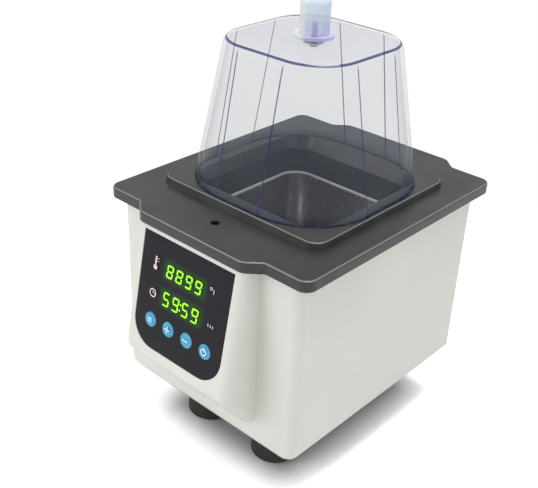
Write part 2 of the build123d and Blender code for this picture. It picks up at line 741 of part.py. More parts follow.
for name, spot in zip(("key_set", "key_up", "key_down", "key_start"), key_spots):
    with BuildPart() as key:
        with BuildSketch(face_plane(PANEL_BACK)):
            with Locations(spot):
                Circle(KEY_D / 2)
        extrude(amount=PANEL_T + KEY_PROUD)
        chamfer(key.faces().filter_by(lambda f: f.normal_at().dot(Vector(*FACE_NORMAL)) > 0.9).edges(), KEY_PROUD * 0.9)
        with BuildSketch(face_plane(PANEL_BACK)):
            with Locations(spot):
                Circle(KEY_STEM_D / 2)
        extrude(amount=-(SWITCH_FRONT - KEY_TRAVEL - KEY_STOP_GAP - PANEL_BACK))
    save(key, name)

# Display board with its two displays and the four key switches
with BuildPart() as display_board:
    with BuildSketch(face_plane(BOARD_FRONT)):
        with Locations((0, -FRONT_BOARD_TOP - FRONT_BOARD_H / 2)):
            Rectangle(FRONT_BOARD_W, FRONT_BOARD_H)
        with Locations(*front_board_spots):
            Circle(M3 / 2 + HOLE_GAP, mode=Mode.SUBTRACT)
    extrude(amount=-BOARD_T)
save(display_board, "display_board")

for name, drop in (("temperature_display", TEMP_V), ("timer_display", TIME_V)):
    with BuildPart() as display:
        with BuildSketch(face_plane(BOARD_FRONT)):
            with Locations((0, -drop)):
                Rectangle(DISPLAY_W, DISPLAY_H)
        extrude(amount=DISPLAY_T)
    save(display, name)

with BuildPart() as key_switches:
    with BuildSketch(face_plane(BOARD_FRONT)):
        with Locations(*key_spots):
            Rectangle(SWITCH_W, SWITCH_W)
    extrude(amount=SWITCH_T - 1.5)
    with BuildSketch(face_plane(BOARD_FRONT)):
        with Locations(*key_spots):
            Circle(KEY_STEM_D / 2 + 0.25)
    extrude(amount=SWITCH_T)
save(key_switches, "key_switches")

board_screws = screws([(-x, y) for x, y in front_board_spots], Plane(
    origin=face_plane(BOARD_FRONT + BOARD_T).origin, x_dir=(-1, 0, 0), z_dir=tuple(-c for c in FACE_NORMAL)),
    M3, BOARD_SCREW_LEN, M3_HEAD_D, M3_HEAD_H)
save(board_screws, "display_board_screws")

with BuildPart() as buzzer:
    with BuildSketch(chin_plane(WALL)):
        Circle(BUZZER_D / 2)
    extrude(amount=-BUZZER_T)
    with BuildSketch(chin_plane(WALL)):
        Circle(1.5)
    extrude(amount=-1.5, mode=Mode.SUBTRACT)
save(buzzer, "buzzer")

# Power board on its standoffs above the pan
BOARD_Z = FOOT_H + PAN_SHEET + MAIN_RISE
BOARD_TOP = BOARD_Z + BOARD_T
main_spots = grid(MAIN_HOLE_X, MAIN_HOLE_Y)

with BuildPart() as board_standoffs:
    with BuildSketch(Plane.XY.offset(FOOT_H + PAN_SHEET)):
        with Locations(*main_spots):
            RegularPolygon(STANDOFF_D / 2, 6, major_radius=False)
            Circle(M3 / 2 + THREAD_GAP, mode=Mode.SUBTRACT)
    extrude(amount=MAIN_RISE)
save(board_standoffs, "board_standoffs")

with BuildPart() as power_board:
    with BuildSketch(Plane.XY.offset(BOARD_Z)):
        Rectangle(MAIN_W, MAIN_D)
        with Locations(*main_spots):
            Circle(M3 / 2 + HOLE_GAP, mode=Mode.SUBTRACT)
    extrude(amount=BOARD_T)
save(power_board, "power_board")

power_board_screws = screws(main_spots, Plane.XY.offset(BOARD_TOP), M3, BOARD_T + 2.5, M3_HEAD_D, M3_HEAD_H)
save(power_board_screws, "power_board_screws")

standoff_screws = screws([(x, -y) for x, y in main_spots], Plane.XY.offset(FOOT_H).rotated((180, 0, 0)),
                         M3, PAN_SHEET + 2.5, M3_HEAD_D, M3_HEAD_H)
save(standoff_screws, "standoff_screws")

# Supply transformer: laminated core with the winding showing on both sides
with BuildPart() as supply_transformer:
    with BuildSketch(Plane.XY.offset(BOARD_TOP)):
        with Locations((TRANSFORMER_X, 0)):
            Rectangle(TRANSFORMER_W, TRANSFORMER_D)
    extrude(amount=3)
    with BuildSketch(Plane.XY.offset(BOARD_TOP + 3)):
        with Locations((TRANSFORMER_X, 0)):
            Rectangle(TRANSFORMER_W, TRANSFORMER_D * 0.5)
            Rectangle(TRANSFORMER_W * 0.55, TRANSFORMER_D)
    extrude(amount=TRANSFORMER_H - 3)
save(supply_transformer, "supply_transformer")

with BuildPart() as heat_sink:
    with BuildSketch(Plane.XY.offset(BOARD_TOP)):
        with Locations((SINK_X, SINK_Y)):
            Rectangle(SINK_W, 3)
        with Locations((SINK_X, SINK_Y + 1.5 + SINK_FIN / 2)):
            with GridLocations(SINK_W / 6.2, 0, 7, 1):
                Rectangle(1.4, SINK_FIN)
    extrude(amount=SINK_H)
save(heat_sink, "heat_sink")

with BuildPart() as triac:
    with BuildSketch(Plane.XY.offset(BOARD_TOP + 4)):
        with Locations((SINK_X, SINK_Y - 1.5 - TRIAC_T / 2)):
            Rectangle(10.2, TRIAC_T)
    extrude(amount=15.5)
    with BuildSketch(Plane.XY.offset(BOARD_TOP)):
        with Locations((SINK_X, SINK_Y - 1.5 - TRIAC_T / 2)):
            with GridLocations(2.54, 0, 3, 1):
                Rectangle(1, 0.6)
    extrude(amount=4)
save(triac, "triac")

with BuildPart() as terminal_block:
    with BuildSketch(Plane.XY.offset(BOARD_TOP)):
        with Locations((TERMINAL_X, TERMINAL_Y)):
            Rectangle(TERMINAL_W, 10)
    extrude(amount=12)
    with BuildSketch(Plane.XY.offset(BOARD_TOP + 12)):
        with Locations((TERMINAL_X, TERMINAL_Y)):
            with GridLocations(TERMINAL_W / 5, 0, 5, 1):
                Circle(1.9)
    extrude(amount=-5, mode=Mode.SUBTRACT)
save(terminal_block, "terminal_block")

with BuildPart() as filter_capacitors:
    with BuildSketch(Plane.XY.offset(BOARD_TOP)):
        with Locations((CAP_X, -14), (CAP_X, 2)):
            Circle(CAP_D / 2)
    extrude(amount=CAP_H)
    chamfer(filter_capacitors.faces().filter_by(lambda f: f.center().Z > BOARD_TOP + CAP_H - 0.01).edges(), 0.8)
save(filter_capacitors, "filter_capacitors")

# Ribbon cable from the display board down to the power board
with BuildPart() as ribbon_cable:
    with BuildLine(Plane.YZ) as route:
        Spline(
            (RIBBON_Y, RIBBON_Z),
            (RIBBON_Y + 9, (RIBBON_Z + BOARD_TOP) / 2 + 4),
            (-MAIN_D / 2 + 4, BOARD_TOP + 0.6),
            tangents=((0, -1), (1, -0.02)),
        )
    with BuildSketch(Plane(origin=(0, RIBBON_Y, RIBBON_Z), x_dir=(1, 0, 0), z_dir=(0, 0, -1))):
        Rectangle(RIBBON_W, RIBBON_T)
    sweep()
save(ribbon_cable, "ribbon_cable")

# Mains inlet with a drawer for the fuse above the socket
REAR_FACE = REAR_Y + BACK_REACH
FLANGE_FACE = REAR_FACE + INLET_FLANGE_T


FUSE_Y = FLANGE_FACE - FUSE_SINK


def rear_sketch_plane(y):
    """An upright plane at this Y, with its local x along +X and its normal to the front."""
    return Plane(origin=(0, y, 0), x_dir=(1, 0, 0), z_dir=(0, -1, 0))


def pin_spots():
    """Live and neutral side by side, earth above and between them."""
    middle = MAINS_Z - SOCKET_DROP
    half = PIN_PITCH / 2
    return [(INLET_X - half, middle - PIN_OFFSET / 2), (INLET_X + half, middle - PIN_OFFSET / 2),
            (INLET_X, middle + PIN_OFFSET / 2)]


with BuildPart() as power_inlet:
    with BuildSketch(rear_sketch_plane(FLANGE_FACE)):
        with Locations((INLET_X, MAINS_Z)):
            RectangleRounded(INLET_FLANGE_W, INLET_FLANGE_H, 2)
    extrude(amount=INLET_FLANGE_T)
    fillet(power_inlet.faces().sort_by(Axis.Y)[-1].edges(), 0.8)
    with BuildSketch(rear_sketch_plane(REAR_FACE)):
        with Locations((INLET_X, MAINS_Z)):
            Rectangle(INLET_W, INLET_H)
    extrude(amount=INLET_DEPTH)
    with BuildSketch(rear_sketch_plane(FLANGE_FACE)) as socket_mouth:
        with Locations((INLET_X, MAINS_Z - SOCKET_DROP)):
            Rectangle(SOCKET_W, SOCKET_H)
        chamfer(socket_mouth.vertices().sort_by(Axis.Y)[-2:], 4)
    extrude(amount=SOCKET_DEPTH, mode=Mode.SUBTRACT)
    with BuildSketch(rear_sketch_plane(FLANGE_FACE)):
        with Locations((INLET_X, MAINS_Z + DRAWER_RISE)):
            Rectangle(DRAWER_W + 2 * DRAWER_GAP, DRAWER_H + 2 * DRAWER_GAP)
    extrude(amount=DRAWER_DEPTH + 1, mode=Mode.SUBTRACT)
    with BuildSketch(rear_sketch_plane(FLANGE_FACE - SOCKET_DEPTH)):
        with Locations(*pin_spots()):
            Rectangle(PIN_W + 2 * THREAD_GAP, PIN_H + 2 * THREAD_GAP)
    extrude(amount=INLET_DEPTH, mode=Mode.SUBTRACT)
save(power_inlet, "power_inlet")

with BuildPart() as inlet_pins:
    with BuildSketch(rear_sketch_plane(FLANGE_FACE - PIN_SINK)):
        with Locations(*pin_spots()):
            Rectangle(PIN_W, PIN_H)
    extrude(amount=INLET_DEPTH + INLET_FLANGE_T - PIN_SINK + PIN_TAIL)
save(inlet_pins, "inlet_pins")

with BuildPart() as fuse_drawer:
    with BuildSketch(rear_sketch_plane(FLANGE_FACE + DRAWER_LIP)):
        with Locations((INLET_X, MAINS_Z + DRAWER_RISE)):
            Rectangle(DRAWER_W, DRAWER_H)
    extrude(amount=DRAWER_DEPTH + DRAWER_LIP)
    fillet(fuse_drawer.faces().sort_by(Axis.Y)[-1].edges(), 0.5)
    with BuildSketch(rear_sketch_plane(FLANGE_FACE + DRAWER_LIP)):
        with Locations((INLET_X, MAINS_Z + DRAWER_RISE)):
            SlotOverall(8, 1.2)
    extrude(amount=0.6, mode=Mode.SUBTRACT)
    with BuildSketch(Plane.XY.offset(MAINS_Z + DRAWER_RISE - FUSE_D / 2 - 0.1)):
        with Locations((INLET_X, FUSE_Y)):
            Rectangle(FUSE_LEN + 0.4, FUSE_D + 0.4)
    extrude(amount=DRAWER_H, mode=Mode.SUBTRACT)
save(fuse_drawer, "fuse_drawer")

with BuildPart() as fuse:
    with BuildSketch(Plane.YZ.offset(INLET_X - FUSE_LEN / 2)):
        with Locations((FUSE_Y, MAINS_Z + DRAWER_RISE - 0.1)):
            Circle(FUSE_D / 2)
    extrude(amount=FUSE_LEN)
    with BuildSketch(Plane.YZ.offset(INLET_X - FUSE_LEN / 2 + 5.5)):
        with Locations((FUSE_Y, MAINS_Z + DRAWER_RISE - 0.1)):
            Circle(FUSE_D / 2)
            Circle(FUSE_D / 2 - 0.3, mode=Mode.SUBTRACT)
    extrude(amount=FUSE_LEN - 11, mode=Mode.SUBTRACT)
save(fuse, "fuse")

# Power switch: bezel with its window and pivot holes, and the rocker resting at off
PIVOT_Y = REAR_FACE - PIVOT_DROP

with BuildPart() as switch_body:
    with BuildSketch(rear_sketch_plane(REAR_FACE + BEZEL_T)):
        with Locations((SWITCH_X, MAINS_Z)):
            RectangleRounded(BEZEL_W, BEZEL_H, 1.5)
    extrude(amount=BEZEL_T)
    fillet(switch_body.faces().sort_by(Axis.Y)[-1].edges(), 0.8)
    with BuildSketch(rear_sketch_plane(REAR_FACE)):
        with Locations((SWITCH_X, MAINS_Z)):
            Rectangle(BEZEL_W - 2 * BEZEL_LAP, BEZEL_H - 2 * BEZEL_LAP)
    extrude(amount=BEZEL_DEPTH)
    with BuildSketch(rear_sketch_plane(REAR_FACE + BEZEL_T)):
        with Locations((SWITCH_X, MAINS_Z)):
            Rectangle(ROCKER_W + 2 * ROCKER_GAP, WINDOW_H)
    extrude(amount=BEZEL_T + PIVOT_DROP + ROCKER_ROOM, mode=Mode.SUBTRACT)
    with BuildSketch(Plane.YZ.offset(SWITCH_X - PIVOT_LEN / 2 - 0.15)):
        with Locations((PIVOT_Y, MAINS_Z)):
            Circle(PIVOT_D / 2 + PIVOT_GAP)
    extrude(amount=PIVOT_LEN + 0.3, mode=Mode.SUBTRACT)
save(switch_body, "switch_body")

with BuildPart() as switch_rocker:
    half = ROCKER_H / 2
    rise = PIVOT_DROP + BEZEL_T
    dip = half * math.tan(math.radians(ROCKER_TILT))
    with BuildSketch(Plane.YZ.offset(SWITCH_X - ROCKER_W / 2)) as rocker_side:
        with BuildLine():
            Polyline(
                (-ROCKER_BACK, -half * 0.55),
                (-1.0, -half),
                (rise + 0.2, -half),
                (rise + 0.2 - dip, 0),
                (rise + 0.2, half),
                (-1.0, half),
                (-ROCKER_BACK, half * 0.55),
                close=True,
            )
        make_face()
    extrude(amount=ROCKER_W)
    with BuildSketch(Plane.YZ.offset(SWITCH_X - PIVOT_LEN / 2)):
        Circle(PIVOT_D / 2)
    extrude(amount=PIVOT_LEN)
switch_rocker.part = Location((0, PIVOT_Y, MAINS_Z)) * Rotation(-ROCKER_TILT, 0, 0) * switch_rocker.part
save(switch_rocker, "switch_rocker")

# Clear lid: tapered walls, rounded corners, flat top
with BuildPart() as lid_dome:
    with BuildSketch(Plane.XY.offset(RIM_TOP)):
        RectangleRounded(LID_W, LID_W, LID_R)
    extrude(amount=LID_H, taper=LID_DRAFT)
    fillet(lid_dome.faces().sort_by(Axis.Z)[-1].edges(), LID_EDGE)
    with BuildSketch(Plane.XY.offset(RIM_TOP)):
        RectangleRounded(LID_W - 2 * LID_T, LID_W - 2 * LID_T, LID_R - LID_T)
    extrude(amount=LID_H - LID_T, taper=LID_DRAFT, mode=Mode.SUBTRACT)
    with BuildSketch(Plane.XY.offset(LID_TOP)):
        Circle(M4 / 2 + HOLE_GAP)
    extrude(amount=-LID_T, mode=Mode.SUBTRACT)
save(lid_dome, "lid_dome")

# Turned knob with a foot flange, a domed crown and a blind hole for its screw
with BuildPart() as lid_knob:
    with BuildSketch(Plane.XZ):
        with BuildLine():
            Polyline(
                (0, LID_TOP),
                (KNOB_FOOT_D / 2, LID_TOP),
                (KNOB_FOOT_D / 2, LID_TOP + KNOB_FOOT_H),
                (KNOB_D / 2, LID_TOP + KNOB_FOOT_H),
                (KNOB_D / 2, LID_TOP + KNOB_H),
                (0, LID_TOP + KNOB_H),
                close=True,
            )
        make_face()
    revolve(axis=Axis.Z)
    fillet(lid_knob.faces().sort_by(Axis.Z)[-1].edges(), KNOB_CROWN)
    with BuildSketch(Plane.XY.offset(LID_TOP)):
        Circle(M4 / 2 + THREAD_GAP)
    extrude(amount=KNOB_SCREW_LEN - LID_T - WASHER_T + 0.5, mode=Mode.SUBTRACT)
save(lid_knob, "lid_knob")

with BuildPart() as knob_washer:
    with BuildSketch(Plane.XY.offset(LID_TOP - LID_T)):
        Circle(WASHER_D / 2)
        Circle(M4 / 2 + HOLE_GAP, mode=Mode.SUBTRACT)
    extrude(amount=-WASHER_T)
save(knob_washer, "knob_washer")

knob_screw = screws([(0, 0)], Plane.XY.offset(LID_TOP - LID_T - WASHER_T).rotated((180, 0, 0)),
                    M4, KNOB_SCREW_LEN, M4_HEAD_D, M4_HEAD_H)
save(knob_screw, "knob_screw")
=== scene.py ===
import json
import math

import bpy
from mathutils import Matrix, Vector


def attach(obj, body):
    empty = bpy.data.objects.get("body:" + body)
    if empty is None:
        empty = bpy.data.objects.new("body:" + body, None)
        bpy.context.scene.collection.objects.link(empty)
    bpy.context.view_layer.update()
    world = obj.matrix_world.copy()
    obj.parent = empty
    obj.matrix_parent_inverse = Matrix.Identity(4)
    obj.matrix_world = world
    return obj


MM = 0.001

# Sizes of the water bath that the looks share with the solids, in millimetres
LEAN = math.radians(10.65)
FACE_TOP = Vector((0.0, -116.3, 189.4))
FACE_UP = Vector((0.0, math.sin(LEAN), math.cos(LEAN)))
FACE_OUT = Vector((0.0, -math.cos(LEAN), math.sin(LEAN)))
FILM_FRONT = 0.4
KEY_FRONT = 0.7
TEMPERATURE_ROW = -25.4
TIMER_ROW = -46.3
KEY_ROW = -67.5
KEY_PITCH = 18.2
LID_FOOT_Z = 202.6
LID_FOOT_HALF = 73.0
LID_SLOPE = math.tan(math.radians(10.78))
LID_TOP_Z = 307.6
LID_FLAT_HALF = 20.0
LID_EDGE = 7.0
LID_BRIM = 1.6
FUSE_MIDDLE_X = -20.0
FUSE_CAP_FROM = 5.0
RIBBON_PITCH = 1.27
RIBBON_MARK_X = 8.7
KNOB_FOOT_Z = 311.0
KNOB_WAIST_Z = 326.0
# Half size of the painted shadow's dark core on the floor, and how far that painted shadow fades out from it
PAINTED_SHADOW_HALF = (48.0, 66.0)
SHADOW_FADE = 36.0

# Thicknesses and sizes of the print on the panel, in millimetres
PRINT_THICK = 0.06
KEY_PRINT_THICK = 0.05
WINDOW_HALF_TALL = 7.5
WINDOW_HALF_WIDE = 20.5
WINDOW_SOFT = 2.5

# How strongly each painted dark line of the lid, standing in for refraction in its clear wall, hides what is behind
# it
UPRIGHT_SHARE = 0.8
BRIM_SHARE = 0.9
FOOT_SHARE = 0.2

# Camera and light
CAMERA_PLACE = (0.38061, -0.46885, 0.48174)
CAMERA_LENS_MM = 60.08
CAMERA_YAW, CAMERA_PITCH, CAMERA_ROLL = math.radians(41.38), math.radians(29.23), math.radians(2.55)
ROOM_LIGHT = 0.58
WHITE = (1.0, 1.0, 1.0, 1.0)
BLACK = (0.0, 0.0, 0.0, 1.0)
EVEN = (1.0, 1.0, 1.0)


def linear(code):
    """An sRGB hex colour as the linear colour that a shader takes."""
    channels = [int(code[i:i + 2], 16) / 255 for i in (1, 3, 5)]
    return tuple(c / 12.92 if c <= 0.04045 else ((c + 0.055) / 1.055) ** 2.4 for c in channels) + (1.0,)


def put(tree, kind, settings=(), **inputs):
    """Adds one node with its settings, and its inputs, each a value or another node's output. An input goes by its
    label, with _ for a space, or by i and its number."""
    made = tree.nodes.new(kind)
    for name, value in dict(settings).items():
        setattr(made, name, value)
    for name, value in inputs.items():
        numbered = name[0] == "i" and name[1:].isdigit()
        socket = made.inputs[int(name[1:]) if numbered else name.replace("_", " ")]
        if isinstance(value, bpy.types.NodeSocket):
            tree.links.new(value, socket)
        else:
            socket.default_value = value
    return made


def start(name):
    """A new material with its shader, and the place on the object that its patterns read."""
    made = bpy.data.materials.new(name)
    made.use_nodes = True
    tree = made.node_tree
    tree.nodes.clear()
    shader = put(tree, "ShaderNodeBsdfPrincipled")
    put(tree, "ShaderNodeOutputMaterial", Surface=shader.outputs[0])
    spot = put(tree, "ShaderNodeTexCoord").outputs["Object"]
    return made, tree, shader, spot


def maths(tree, operation, *values):
    """One sum on one, two or three values."""
    inputs = {f"i{place}": value for place, value in enumerate(values)}
    return put(tree, "ShaderNodeMath", {"operation": operation}, **inputs).outputs[0]


def blend_colour(tree, share, first, second):
    """first where share is 0 and second where it is 1."""
    made = put(tree, "ShaderNodeMix", {"data_type": "RGBA"}, i0=share, i6=first, i7=second)
    return made.outputs[2]


def spread(tree, value, low, high, to_low, to_high):
    """value from low to high, turned to the range to_low to to_high with soft ends."""
    made = put(tree, "ShaderNodeMapRange", {"interpolation_type": "SMOOTHSTEP"}, Value=value)
    for name, number in (("From Min", low), ("From Max", high), ("To Min", to_low), ("To Max", to_high)):
        made.inputs[name].default_value = number
    return made.outputs[0]


def grain(tree, spot, size_mm, detail=2.0, stretch=EVEN):
    """Noise whose lumps are size_mm across."""
    if stretch != EVEN:
        spot = put(tree, "ShaderNodeMapping", Vector=spot, Scale=stretch).outputs[0]
    return put(tree, "ShaderNodeTexNoise", Vector=spot, Scale=1 / (size_mm * MM), Detail=detail).outputs[0]


def dent(tree, shader, height, depth_mm):
    """Bump on the shader, depth_mm deep."""
    made = put(tree, "ShaderNodeBump", Height=height, Distance=depth_mm * MM, Strength=1.0)
    tree.links.new(made.outputs[0], shader.inputs["Normal"])


def patches(tree, shader, spot, tones, patch_mm, stretch=EVEN):
    """Two close tones in patches that are patch_mm across."""
    share = spread(tree, grain(tree, spot, patch_mm, 3.0, stretch), 0.3, 0.7, 0.0, 1.0)
    tone = blend_colour(tree, share, linear(tones[0]), linear(tones[1]))
    tree.links.new(tone, shader.inputs["Base Color"])
    return tone


def surface(tree, shader, spot, rough, grain_mm, depth_mm, metal=0.0, stretch=EVEN):
    """A roughness that wanders with a fine grain, which is also a bump where depth_mm isn't None."""
    fine = grain(tree, spot, grain_mm, 2.0, stretch)
    tree.links.new(spread(tree, fine, 0.25, 0.75, rough[0], rough[1]), shader.inputs["Roughness"])
    shader.inputs["Metallic"].default_value = metal
    if depth_mm:
        dent(tree, shader, fine, depth_mm)


def finish(tree, shader, spot, tones, patch_mm, rough, grain_mm, depth_mm, metal=0.0, stretch=EVEN):
    """The common start of a finish: its tones and its surface."""
    surface(tree, shader, spot, rough, grain_mm, depth_mm, metal, stretch)
    return patches(tree, shader, spot, tones, patch_mm, stretch)


def painted_steel():
    """Powder-coated sheet steel, sprayed and baked: a pale warm grey with a faint orange peel and a soft sheen."""
    made, tree, shader, spot = start("powder_coated_steel")
    finish(tree, shader, spot, ("#DBDBD4", "#E0E0DA"), 60.0, (0.36, 0.46), 1.6, 0.012)
    return made


def satin_plastic():
    """Dark grey moulded polymer, satin with a barely raised grain, with a painted highlight along its filleted edges.
    """
    made, tree, shader, spot = start("satin_moulded_polymer")
    tone = finish(tree, shader, spot, ("#292C2A", "#343734"), 35.0, (0.28, 0.31), 1.3, 0.0003)
    # Painted highlight: paler where the surface turns from the walls to the top, along the filleted edges
    facing = put(tree, "ShaderNodeTexCoord").outputs["Normal"]
    upward = put(tree, "ShaderNodeSeparateXYZ", Vector=facing).outputs[2]
    off_wall = spread(tree, upward, 0.45, 0.6, 0.0, 1.0)
    off_top = spread(tree, upward, 0.9, 0.97, 1.0, 0.0)
    painted_edge_highlight = maths(tree, "MULTIPLY", maths(tree, "MULTIPLY", off_wall, off_top), 0.6)
    tree.links.new(blend_colour(tree, painted_edge_highlight, tone, linear("#8C8F8A")), shader.inputs["Base Color"])
    return made


def moulded_rubber():
    """Black moulded rubber: dull, brownish, with a little dust in its pores."""
    made, tree, shader, spot = start("moulded_rubber")
    finish(tree, shader, spot, ("#2A2624", "#37322F"), 6.0, (0.62, 0.82), 0.7, 0.03)
    return made


def zinc_sheet():
    """Zinc-plated sheet steel, folded: cool grey crystals about 6 mm across with a half-bright face."""
    made, tree, shader, spot = start("zinc_plated_sheet")
    surface(tree, shader, spot, (0.34, 0.48), 1.4, 0.006, 1.0)
    cell = put(tree, "ShaderNodeTexVoronoi", Vector=spot, Scale=1 / (6 * MM)).outputs["Color"]
    crystal = put(tree, "ShaderNodeSeparateXYZ", Vector=cell).outputs[0]
    tone = blend_colour(tree, crystal, linear("#A9ADB0"), linear("#BDC0C2"))
    tree.links.new(tone, shader.inputs["Base Color"])
    return made


def drawn_stainless():
    """Deep-drawn stainless steel: smooth warm grey metal, its tone and gloss drawn out in soft upright streaks."""
    made, tree, shader, spot = start("drawn_stainless_steel")
    finish(tree, shader, spot, ("#B4B3AF", "#C6C5C1"), 22.0, (0.25, 0.28), 9.0, None, 1.0, (1.0, 1.0, 0.3))
    return made


def plated_steel():
    """Nickel-plated turned steel: bright and warm, with flat turning marks 0.4 mm across."""
    made, tree, shader, spot = start("nickel_plated_steel")
    finish(tree, shader, spot, ("#B8B5AC", "#C9C6BD"), 3.0, (0.22, 0.34), 0.4, 0.006, 1.0, (1.0, 1.0, 3.0))
    return made


def silicone_seal():
    """Pressed silicone rubber: milky white and waxy; its pale tone also paints the bright highlight line round the
    tank's mouth.
    """
    made, tree, shader, spot = start("silicone_seal")
    finish(tree, shader, spot, ("#DADCD8", "#E8EAE6"), 9.0, (0.30, 0.42), 0.8, 0.01)
    return made


def heater_mat():
    """Silicone heater mat on glass cloth: brick red, with the cloth's 2.4 mm weave pressed into it."""
    made, tree, shader, spot = start("silicone_heater_mat")
    finish(tree, shader, spot, ("#9A4228", "#AB5034"), 8.0, (0.5, 0.65), 0.8, None)
    across = put(tree, "ShaderNodeTexWave", {"bands_direction": "X"}, Vector=spot, Scale=130.0).outputs["Fac"]
    along = put(tree, "ShaderNodeTexWave", {"bands_direction": "Y"}, Vector=spot, Scale=130.0).outputs["Fac"]
    dent(tree, shader, maths(tree, "MULTIPLY", across, along), 0.08)
    return made


def rolled_aluminium():
    """Rolled aluminium plate: pale cool metal with faint rolling lines one way."""
    made, tree, shader, spot = start("rolled_aluminium")
    finish(tree, shader, spot, ("#C2C4C6", "#D0D2D3"), 18.0, (0.30, 0.42), 0.8, 0.008, 1.0, (0.08, 1.0, 1.0))
    return made


def foam_jacket():
    """Open-cell melamine foam, cut with a wire: cream white, matt, with cells about 1 mm across."""
    made, tree, shader, spot = start("melamine_foam")
    finish(tree, shader, spot, ("#D6D1C2", "#E2DED1"), 15.0, (0.85, 0.95), 1.2, None)
    cell = put(tree, "ShaderNodeTexVoronoi", {"feature": "DISTANCE_TO_EDGE"}, Vector=spot,
               Scale=1 / (1.1 * MM)).outputs[0]
    dent(tree, shader, cell, 0.35)
    return made


def window_share(tree, spot, row_mm):
    """1 over the display window at row_mm on the leaning face and 0 away from it, with a soft edge."""
    up = put(tree, "ShaderNodeVectorMath", {"operation": "DOT_PRODUCT"}, i0=spot, i1=FACE_UP).outputs["Value"]
    middle = (FACE_TOP.dot(FACE_UP) + row_mm) * MM
    tall = maths(tree, "ABSOLUTE", maths(tree, "SUBTRACT", up, middle))
    wide = maths(tree, "ABSOLUTE", put(tree, "ShaderNodeSeparateXYZ", Vector=spot).outputs[0])
    inside = [spread(tree, off, (half - WINDOW_SOFT) * MM, (half + WINDOW_SOFT) * MM, 1.0, 0.0)
              for off, half in ((tall, WINDOW_HALF_TALL), (wide, WINDOW_HALF_WIDE))]
    return maths(tree, "MULTIPLY", *inside)


def printed_film():
    """Back-printed polyester film: near-black with a violet cast, glossy, tinted green over the lit displays, with a
    faint painted green glow there.
    """
    made, tree, shader, spot = start("printed_polyester_film")
    tone = finish(tree, shader, spot, ("#131118", "#1A1720"), 22.0, (0.16, 0.24), 1.2, 0.004)
    lit = maths(tree, "ADD", *(window_share(tree, spot, row) for row in (TEMPERATURE_ROW, TIMER_ROW)))
    tree.links.new(blend_colour(tree, lit, tone, linear("#10240F")), shader.inputs["Base Color"])
    # Painted glow: the film itself gives off faint green light over the display windows
    glow = blend_colour(tree, lit, BLACK, linear("#1E5A1C"))
    tree.links.new(glow, shader.inputs["Emission Color"])
    shader.inputs["Emission Strength"].default_value = 0.35
    shader.inputs["Specular IOR Level"].default_value = 0.2
    return made


def key_film():
    """Embossed polyester keys: clear cyan blue over a white ground, glossy, in two close depths of blue."""
    made, tree, shader, spot = start("embossed_key_film")
    finish(tree, shader, spot, ("#2F93BE", "#4AAAD2"), 5.0, (0.18, 0.28), 0.9, 0.005)
    return made


def circuit_laminate():
    """Glass-epoxy circuit laminate: green solder mask, with the copper under it as paler lines 2.5 mm apart."""
    made, tree, shader, spot = start("glass_epoxy_laminate")
    surface(tree, shader, spot, (0.3, 0.42), 0.7, 0.01)
    cells = put(tree, "ShaderNodeTexBrick", Vector=spot, Scale=1 / (5 * MM), Color1=linear("#1F5B34"),
                Color2=linear("#256A3C"), Mortar=linear("#3E8A50")).outputs["Color"]
    tree.links.new(cells, shader.inputs["Base Color"])
    return made


def display_face():
    """Moulded display block: dark grey and satin, so that only its lit segments stand out."""
    made, tree, shader, spot = start("display_block")
    finish(tree, shader, spot, ("#3A3D3C", "#454947"), 6.0, (0.3, 0.4), 0.8, 0.006)
    return made


def black_nylon():
    """Black moulded nylon: slightly glossy, with a fine grain."""
    made, tree, shader, spot = start("moulded_nylon")
    finish(tree, shader, spot, ("#1D1D1E", "#272728"), 8.0, (0.34, 0.48), 0.7, 0.015)
    return made


def ribbon_cable():
    """Ribbon cable in grey PVC: conductors 1.27 mm apart raise round ribs along it, one edge marked red."""
    made, tree, shader, spot = start("pvc_ribbon_cable")
    tone = finish(tree, shader, spot, ("#9DA0A2", "#AEB1B3"), 9.0, (0.4, 0.5), 0.8, None)
    across = put(tree, "ShaderNodeSeparateXYZ", Vector=spot).outputs[0]
    rib = maths(tree, "SINE", maths(tree, "MULTIPLY", across, 2 * math.pi / (RIBBON_PITCH * MM)))
    dent(tree, shader, rib, 0.2)
    marked = spread(tree, across, (RIBBON_MARK_X - 0.1) * MM, (RIBBON_MARK_X + 0.1) * MM, 0.0, 1.0)
    tree.links.new(blend_colour(tree, marked, tone, linear("#A3342E")), shader.inputs["Base Color"])
    return made


def core_steel():
    """Stacked core plates of silicon steel: blue-grey, varnished, with an edge line every 1.8 mm."""
    made, tree, shader, spot = start("stacked_core_plates")
    finish(tree, shader, spot, ("#5B5F63", "#6C7074"), 10.0, (0.4, 0.55), 0.9, None, 1.0)
    plates = put(tree, "ShaderNodeTexWave", {"bands_direction": "Y"}, Vector=spot, Scale=175.0).outputs["Fac"]
    dent(tree, shader, plates, 0.1)
    return made


def terminal_polyamide():
    """Green moulded polyamide of the terminal block: plain and satin."""
    made, tree, shader, spot = start("green_polyamide")
    finish(tree, shader, spot, ("#2E7D4F", "#37895A"), 5.0, (0.35, 0.45), 0.6, 0.01)
    return made


def can_sleeve():
    """Shrink sleeve on the capacitor cans: deep blue PVC, glossy and slightly uneven."""
    made, tree, shader, spot = start("shrink_sleeve")
    finish(tree, shader, spot, ("#1C2A4A", "#233358"), 4.0, (0.22, 0.34), 1.3, 0.02)
    return made


def pin_metal():
    """Nickel-plated brass pins: bright, faintly yellow, with wipe marks along them."""
    made, tree, shader, spot = start("plated_brass")
    finish(tree, shader, spot, ("#C9C2AC", "#D8D2BE"), 3.0, (0.18, 0.3), 0.5, 0.004, 1.0, (1.0, 0.1, 1.0))
    return made


